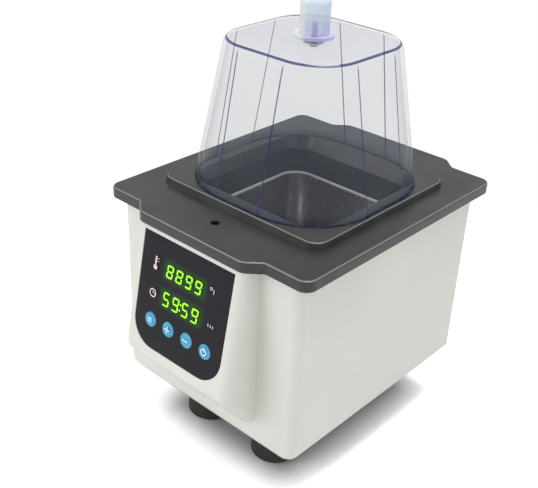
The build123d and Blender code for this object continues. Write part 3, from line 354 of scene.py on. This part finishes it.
def fuse_glass():
    """Soda glass fuse tube with its plated caps: clear and bright, and metal from 5 mm off its middle."""
    made, tree, shader, spot = start("fuse_tube_glass")
    finish(tree, shader, spot, ("#C9D3D0", "#D6DEDB"), 4.0, (0.08, 0.14), 0.8, 0.002)
    across = put(tree, "ShaderNodeSeparateXYZ", Vector=spot).outputs[0]
    off = maths(tree, "ABSOLUTE", maths(tree, "SUBTRACT", across, FUSE_MIDDLE_X * MM))
    for socket, on_tube in (("Metallic", 0.0), ("Alpha", 0.35)):
        value = spread(tree, off, (FUSE_CAP_FROM - 0.1) * MM, (FUSE_CAP_FROM + 0.1) * MM, on_tube, 1.0)
        tree.links.new(value, shader.inputs[socket])
    return made


def clear_lid():
    """Clear moulded plastic with a violet-blue tint: nearly invisible on its flats, with painted dark blue lines
    standing in for the refraction where light runs along the wall: at the tangent lines of the corners, round the top
    edge and in the thick foot."""
    made, tree, shader, spot = start("tinted_clear_moulding")
    parts = put(tree, "ShaderNodeSeparateXYZ", Vector=spot)
    across = maths(tree, "ABSOLUTE", parts.outputs[0])
    along = maths(tree, "ABSOLUTE", parts.outputs[1])
    height = parts.outputs[2]
    lesser = maths(tree, "MINIMUM", across, along)
    greater = maths(tree, "MAXIMUM", across, along)
    # Painted dark lines standing in for refraction: the tangent lines of the corners, the top edge and the foot band
    off_line = maths(tree, "ABSOLUTE", maths(tree, "SUBTRACT", lesser, LID_FLAT_HALF * MM))
    upright = spread(tree, off_line, 0.35 * MM, 0.75 * MM, 1.0, 0.0)
    on_wall = spread(tree, height, (LID_TOP_Z - LID_EDGE) * MM, (LID_TOP_Z - 1.5) * MM, 1.0, 0.0)
    narrowing = maths(tree, "MULTIPLY", maths(tree, "SUBTRACT", height, LID_FOOT_Z * MM), LID_SLOPE)
    inside = maths(tree, "SUBTRACT", LID_FOOT_HALF * MM, maths(tree, "ADD", greater, narrowing))
    outer = spread(tree, inside, 1.2 * MM, 2.0 * MM, 1.0, 0.0)
    upright = maths(tree, "MULTIPLY", maths(tree, "MULTIPLY", upright, on_wall), outer)
    off_edge = maths(tree, "ABSOLUTE", maths(tree, "SUBTRACT", height, (LID_TOP_Z - LID_BRIM) * MM))
    brim = spread(tree, off_edge, 0.35 * MM, 0.9 * MM, 1.0, 0.0)
    foot = spread(tree, height, (LID_FOOT_Z + 3.0) * MM, (LID_FOOT_Z + 9.0) * MM, 1.0, 0.0)
    dark = maths(tree, "MULTIPLY", upright, UPRIGHT_SHARE)
    for line, share in ((brim, BRIM_SHARE), (foot, FOOT_SHARE)):
        dark = maths(tree, "MAXIMUM", dark, maths(tree, "MULTIPLY", line, share))
    haze = spread(tree, grain(tree, spot, 30.0, 2.0), 0.3, 0.7, 0.0, 1.0)
    pale = blend_colour(tree, haze, linear("#7C8296"), linear("#8A8FA1"))
    tint = spread(tree, dark, 0.02, 0.25, 0.0, 1.0)
    tree.links.new(blend_colour(tree, tint, pale, linear("#1B2160")), shader.inputs["Base Color"])
    rim_light = put(tree, "ShaderNodeLayerWeight", Blend=0.35).outputs["Facing"]
    sheer = spread(tree, rim_light, 0.3, 1.0, 0.09, 0.30)
    tree.links.new(maths(tree, "MAXIMUM", sheer, dark), shader.inputs["Alpha"])
    tree.links.new(spread(tree, haze, 0.0, 1.0, 0.04, 0.1), shader.inputs["Roughness"])
    shader.inputs["IOR"].default_value = 1.49
    dent(tree, shader, grain(tree, spot, 18.0, 1.0), 0.05)
    return made


def clear_knob():
    """Solid turned knob of the same clear plastic: it gathers light, so one side looks pale grey and the other pale
    blue going to lavender at its foot."""
    made, tree, shader, spot = start("solid_clear_knob")
    parts = put(tree, "ShaderNodeSeparateXYZ", Vector=spot)
    side = spread(tree, parts.outputs[0], -1.5 * MM, 1.5 * MM, 0.0, 1.0)
    low = spread(tree, parts.outputs[2], KNOB_FOOT_Z * MM, KNOB_WAIST_Z * MM, 1.0, 0.0)
    haze = spread(tree, grain(tree, spot, 6.0, 2.0), 0.3, 0.7, 0.0, 1.0)
    blue = blend_colour(tree, low, linear("#CCE0F4"), linear("#C6C4F0"))
    grey = blend_colour(tree, haze, linear("#E4E7EA"), linear("#F0F2F4"))
    tree.links.new(blend_colour(tree, side, grey, blue), shader.inputs["Base Color"])
    facing = put(tree, "ShaderNodeLayerWeight", Blend=0.4).outputs["Facing"]
    tree.links.new(spread(tree, facing, 0.1, 1.0, 0.55, 0.8), shader.inputs["Alpha"])
    tree.links.new(spread(tree, haze, 0.0, 1.0, 0.05, 0.12), shader.inputs["Roughness"])
    shader.inputs["IOR"].default_value = 1.49
    return made


def lit_segment():
    """Green light-emitting segments seen through the film: bright yellow-green, some a little greener."""
    made, tree, shader, spot = start("lit_segment")
    tone = finish(tree, shader, spot, ("#7ED321", "#A5E52E"), 3.0, (0.3, 0.4), 0.7, 0.002)
    tree.links.new(tone, shader.inputs["Emission Color"])
    shader.inputs["Emission Strength"].default_value = 0.75
    return made


def print_white():
    """Screen-printed ink, pinkish white: matt and slightly raised, paler in places."""
    made, tree, shader, spot = start("screen_print_white")
    finish(tree, shader, spot, ("#E6CFD6", "#F1E2E6"), 2.0, (0.45, 0.55), 0.5, 0.004)
    return made


def print_pale_blue():
    """Screen-printed ink on the keys: white with the blue showing through."""
    made, tree, shader, spot = start("screen_print_pale_blue")
    finish(tree, shader, spot, ("#D8F0F8", "#F2FBFF"), 2.0, (0.4, 0.5), 0.5, 0.004)
    return made


# Small flat forms for the panel, each modelled flat at the face's centre line and then laid on the leaning face

def clear_choice():
    """Nothing is selected."""
    for thing in bpy.context.selected_objects:
        thing.select_set(False)


def bar(length, width, thick, centre, turn=0.0):
    """A bar with pointed ends, as a display's segment has: a six-sided disc pulled out to its length."""
    clear_choice()
    bpy.ops.mesh.primitive_cylinder_add(vertices=6, radius=width / 2 * MM, depth=thick * MM)
    made = bpy.context.object
    bpy.ops.object.mode_set(mode="EDIT")
    bpy.ops.mesh.select_all(action="SELECT")
    bpy.ops.transform.rotate(value=math.pi / 6, orient_axis="Z", center_override=(0, 0, 0))
    bpy.ops.object.mode_set(mode="OBJECT")
    pull = (length - width) / 2 * MM
    for point in made.data.vertices:
        if abs(point.co.x) > 1e-6:
            point.co.x += math.copysign(pull, point.co.x)
    made.data.transform(Matrix.Translation((centre[0] * MM, centre[1] * MM, 0)) @ Matrix.Rotation(turn, 4, "Z"))
    return made


def disc(radius, thick, centre, inner=0.0, sides=32):
    """A disc, or a ring where inner is given."""
    clear_choice()
    bpy.ops.mesh.primitive_cylinder_add(vertices=sides, radius=radius * MM, depth=thick * MM)
    made = bpy.context.object
    if inner:
        bpy.ops.object.mode_set(mode="EDIT")
        bpy.ops.mesh.select_mode(type="FACE")
        bpy.ops.mesh.select_all(action="DESELECT")
        bpy.ops.object.mode_set(mode="OBJECT")
        for face in made.data.polygons:
            face.select = abs(face.normal.z) > 0.9
        bpy.ops.object.mode_set(mode="EDIT")
        bpy.ops.mesh.inset(thickness=(radius - inner) * MM)
        bpy.ops.mesh.bridge_edge_loops()
        bpy.ops.object.mode_set(mode="OBJECT")
    made.data.transform(Matrix.Translation((centre[0] * MM, centre[1] * MM, 0)))
    return made


def join(parts, name):
    """The parts as one piece."""
    clear_choice()
    for part in parts:
        part.select_set(True)
    bpy.context.view_layer.objects.active = parts[0]
    bpy.ops.object.join()
    parts[0].name = name
    parts[0].data.name = name
    return parts[0]


def lay_on_face(piece, front, material, body):
    """Turns a flat piece from the drawing plane to the leaning face, its back at front above the face plane."""
    low = min(point.co.z for point in piece.data.vertices)
    right = Vector((1.0, 0.0, 0.0))
    turn = Matrix((right, FACE_UP, FACE_OUT)).transposed().to_4x4()
    place = Matrix.Translation((FACE_TOP + FACE_OUT * front) * MM) @ turn @ Matrix.Translation((0, 0, -low))
    piece.data.transform(place)
    piece.data.materials.clear()
    piece.data.materials.append(material)
    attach(piece, body)
    return piece


# Which of the seven segments each digit lights: top, upper right, lower right, bottom, lower left, upper left, middle
DIGITS = {"5": (1, 0, 1, 1, 0, 1, 1), "8": (1, 1, 1, 1, 1, 1, 1), "9": (1, 1, 1, 1, 0, 1, 1)}
DIGIT_SLANT = 0.12
SEGMENT_GAP = 0.25
UPRIGHT = math.pi / 2


def digit(figure, x, y, tall, wide, stroke):
    """One seven-segment digit, leaning a little to the right."""
    half_tall, half_wide = tall / 2, wide / 2
    across, upright = wide - stroke - SEGMENT_GAP, half_tall - stroke / 2 - SEGMENT_GAP
    places = ((0, half_tall - stroke / 2, 0), (half_wide - stroke / 2, half_tall / 2, 1),
              (half_wide - stroke / 2, -half_tall / 2, 1), (0, -half_tall + stroke / 2, 0),
              (-half_wide + stroke / 2, -half_tall / 2, 1), (-half_wide + stroke / 2, half_tall / 2, 1), (0, 0, 0))
    made = []
    for lit, (dx, dy, up) in zip(DIGITS[figure], places):
        if lit:
            length = upright if up else across
            made.append(bar(length, stroke, PRINT_THICK, (x + dx, y + dy), UPRIGHT if up else 0.0))
    for piece in made:
        for point in piece.data.vertices:
            point.co.x += (point.co.y - y * MM) * DIGIT_SLANT
    return made


def row_of_digits(figures, row, tall, pitch, wide, stroke, dots, name, material):
    """A row of lit digits with its points, centred on the face."""
    parts = []
    left = -pitch * (len(figures) - 1) / 2
    for place, figure in enumerate(figures):
        parts += digit(figure, left + place * pitch, row, tall, wide, stroke)
    for x, y in dots:
        parts.append(disc(stroke / 2, PRINT_THICK, (x, row + y), sides=16))
    return lay_on_face(join(parts, name), FILM_FRONT, material, "chassis")


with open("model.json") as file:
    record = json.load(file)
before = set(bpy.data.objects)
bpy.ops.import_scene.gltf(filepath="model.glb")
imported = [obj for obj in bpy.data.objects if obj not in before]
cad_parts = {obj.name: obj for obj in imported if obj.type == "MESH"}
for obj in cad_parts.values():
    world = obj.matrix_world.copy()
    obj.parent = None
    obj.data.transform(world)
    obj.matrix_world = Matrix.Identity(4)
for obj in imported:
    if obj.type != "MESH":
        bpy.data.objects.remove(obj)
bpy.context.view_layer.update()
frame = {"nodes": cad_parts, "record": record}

# Camera, at the photograph's viewing angle
level = math.cos(CAMERA_PITCH)
back = Vector((math.sin(CAMERA_YAW) * level, -math.cos(CAMERA_YAW) * level, math.sin(CAMERA_PITCH)))
right = Vector((math.cos(CAMERA_YAW), math.sin(CAMERA_YAW), 0.0))
up = back.cross(right)
turned_right = right * math.cos(CAMERA_ROLL) + up * math.sin(CAMERA_ROLL)
turned_up = up * math.cos(CAMERA_ROLL) - right * math.sin(CAMERA_ROLL)
lens = bpy.data.cameras.new("photo_camera")
lens.lens = CAMERA_LENS_MM
lens.sensor_width = 36.0
lens.clip_start = 0.01
lens.clip_end = 60.0
camera = bpy.data.objects.new("photo_camera", lens)
bpy.context.scene.collection.objects.link(camera)
turn = Matrix((turned_right, turned_up, back)).transposed().to_4x4()
camera.matrix_world = Matrix.Translation(CAMERA_PLACE) @ turn
bpy.context.scene.camera = camera

# Finishes of the solids
finishes = {
    "housing_paint": painted_steel(), "frame_plastic": satin_plastic(), "foot_rubber": moulded_rubber(),
    "pan_steel": zinc_sheet(), "tank_steel": drawn_stainless(), "screw_steel": plated_steel(),
    "gasket_rubber": silicone_seal(), "heater_silicone": heater_mat(), "plate_aluminium": rolled_aluminium(),
    "jacket_foam": foam_jacket(), "panel_film": printed_film(), "key_film": key_film(),
    "board_laminate": circuit_laminate(), "display_face": display_face(), "part_plastic": black_nylon(),
    "ribbon_jacket": ribbon_cable(), "core_steel": core_steel(), "terminal_plastic": terminal_polyamide(),
    "can_plastic": can_sleeve(), "pin_metal": pin_metal(), "fuse_glass": fuse_glass(), "lid_clear": clear_lid(),
}
for part in frame["record"]["subparts"]:
    node = frame["nodes"][part["node"]]
    for place in node.material_slots:
        place.material = finishes[part["material_slot"]]

knob_look = clear_knob()
for place in frame["nodes"]["lid_knob"].material_slots:
    place.material = knob_look

# Marks on the panel
green = lit_segment()
white_ink = print_white()
blue_ink = print_pale_blue()
row_of_digits("8899", TEMPERATURE_ROW, 10.0, 9.2, 6.4, 1.5, ((4.6, -4.4),), "temperature_digits", green)
row_of_digits("5959", TIMER_ROW, 11.0, 9.4, 6.6, 1.5, ((0.3, 2.2), (-0.3, -2.2)), "timer_digits", green)

thermometer = [disc(1.9, PRINT_THICK, (-28.5, -27.2)), bar(8.0, 1.7, PRINT_THICK, (-28.5, -22.8), UPRIGHT),
               bar(1.8, 0.5, PRINT_THICK, (-26.4, -20.4)), bar(1.8, 0.5, PRINT_THICK, (-26.4, -22.4))]
lay_on_face(join(thermometer, "thermometer_mark"), FILM_FRONT, white_ink, "chassis")
clock = [disc(3.3, PRINT_THICK, (-27.7, -46.6), 2.5), bar(2.6, 0.6, PRINT_THICK, (-27.7, -45.5), UPRIGHT),
         bar(2.2, 0.6, PRINT_THICK, (-26.8, -46.7))]
lay_on_face(join(clock, "clock_mark"), FILM_FRONT, white_ink, "chassis")
degree = [disc(1.2, PRINT_THICK, (25.6, -21.0), 0.7, 20), bar(3.6, 0.7, PRINT_THICK, (28.2, -22.6), UPRIGHT)]
lay_on_face(join(degree, "degree_mark"), FILM_FRONT, white_ink, "chassis")
interval = [bar(2.4, 0.7, PRINT_THICK, (x, -46.9), UPRIGHT) for x in (27.4, 29.6, 31.8)]
lay_on_face(join(interval, "interval_mark"), FILM_FRONT, white_ink, "chassis")

set_x, plus_x, minus_x, start_x = (KEY_PITCH * (n - 1.5) for n in range(4))
set_bars = [bar(4.2, 0.8, KEY_PRINT_THICK, (set_x, KEY_ROW + off)) for off in (1.5, 0.0, -1.5)]
lay_on_face(join(set_bars, "set_mark"), KEY_FRONT, blue_ink, "key_set_cap")
plus_bars = [bar(5.4, 1.1, KEY_PRINT_THICK, (plus_x, KEY_ROW), turn) for turn in (0.0, UPRIGHT)]
lay_on_face(join(plus_bars, "plus_mark"), KEY_FRONT, blue_ink, "key_up_cap")
minus_mark = bar(5.4, 1.1, KEY_PRINT_THICK, (minus_x, KEY_ROW))
minus_mark.name = "minus_mark"
lay_on_face(minus_mark, KEY_FRONT, blue_ink, "key_down_cap")
start_parts = [disc(2.7, KEY_PRINT_THICK, (start_x, KEY_ROW), 1.9),
               bar(3.4, 0.9, KEY_PRINT_THICK, (start_x, KEY_ROW + 1.6), UPRIGHT)]
lay_on_face(join(start_parts, "start_mark"), KEY_FRONT, blue_ink, "key_start_cap")

# Pale floor: white, bright to the camera away from the object, and it keeps the soft shadow, darkened further by a
# painted shadow under the object
clear_choice()
bpy.ops.mesh.primitive_plane_add(size=24.0, location=(0, 0, -0.0002))
floor = bpy.context.object
floor.name = "studio_floor"
floor_look = bpy.data.materials.new("studio_floor")
floor_look.use_nodes = True
tree = floor_look.node_tree
tree.nodes.clear()
spot = put(tree, "ShaderNodeTexCoord").outputs["Object"]
away = put(tree, "ShaderNodeVectorMath", {"operation": "LENGTH"}, i0=spot).outputs["Value"]
matt = put(tree, "ShaderNodeBsdfDiffuse", Color=(0.80, 0.80, 0.80, 1.0))
parts = put(tree, "ShaderNodeSeparateXYZ", Vector=spot)
# Painted shadow: the floor's colour goes dark in a soft box under the object
squares = []
for axis, half in enumerate(PAINTED_SHADOW_HALF):
    off = maths(tree, "SUBTRACT", maths(tree, "ABSOLUTE", parts.outputs[axis]), half * MM)
    past = maths(tree, "MAXIMUM", off, 0.0)
    squares.append(maths(tree, "MULTIPLY", past, past))
under = spread(tree, maths(tree, "SQRT", maths(tree, "ADD", *squares)), 0.0, SHADOW_FADE * MM, 0.0, 1.0)
shadowed_floor_tone = blend_colour(tree, under, (0.4, 0.4, 0.4, 1.0), (1.8, 1.8, 1.8, 1.0))
clear = put(tree, "ShaderNodeBsdfDiffuse", Color=shadowed_floor_tone)
bright = put(tree, "ShaderNodeEmission", Color=WHITE, Strength=1.0)
lift = put(tree, "ShaderNodeEmission", Color=WHITE, Strength=0.03)
near = put(tree, "ShaderNodeAddShader", i0=clear.outputs[0], i1=lift.outputs[0])
far_share = spread(tree, away, 0.22, 0.5, 0.0, 1.0)
seen = put(tree, "ShaderNodeMixShader", i0=far_share, i1=near.outputs[0], i2=bright.outputs[0])
path = put(tree, "ShaderNodeLightPath")
direct = maths(tree, "MAXIMUM", path.outputs["Is Camera Ray"], path.outputs["Is Transmission Ray"])
chosen = put(tree, "ShaderNodeMixShader", i0=direct, i1=matt.outputs[0], i2=seen.outputs[0])
put(tree, "ShaderNodeOutputMaterial", Surface=chosen.outputs[0])
floor.data.materials.append(floor_look)

world = bpy.data.worlds.new("studio")
bpy.context.scene.world = world
world.use_nodes = True
tree = world.node_tree
tree.nodes.clear()
path = put(tree, "ShaderNodeLightPath")
direct = maths(tree, "MAXIMUM", path.outputs["Is Camera Ray"], path.outputs["Is Transmission Ray"])
strength = maths(tree, "ADD", ROOM_LIGHT, maths(tree, "MULTIPLY", direct, 1.0 - ROOM_LIGHT))
sky = put(tree, "ShaderNodeBackground", Color=WHITE, Strength=strength)
put(tree, "ShaderNodeOutputWorld", Surface=sky.outputs[0])


def softbox(name, power, place, aim, wide, tall):
    """A lamp of wide by tall metres at place, aimed at aim."""
    lamp = bpy.data.lights.new(name, "AREA")
    lamp.shape = "RECTANGLE"
    lamp.size = wide
    lamp.size_y = tall
    lamp.energy = power
    holder = bpy.data.objects.new(name, lamp)
    bpy.context.scene.collection.objects.link(holder)
    facing = (Vector(aim) - Vector(place)).to_track_quat("-Z", "Y").to_matrix().to_4x4()
    holder.matrix_world = Matrix.Translation(place) @ facing


softbox("left_front_box", 11.0, (-0.9, -1.5, 1.0), (0, 0, 0.15), 1.0, 1.0)
softbox("overhead_box", 22.0, (0.05, 0.25, 1.7), (0, 0, 0.2), 0.8, 0.8)
softbox("right_box", 2.0, (1.5, -0.5, 0.9), (0, 0, 0.15), 0.9, 0.9)

scene = bpy.context.scene
scene.view_settings.view_transform = "Standard"
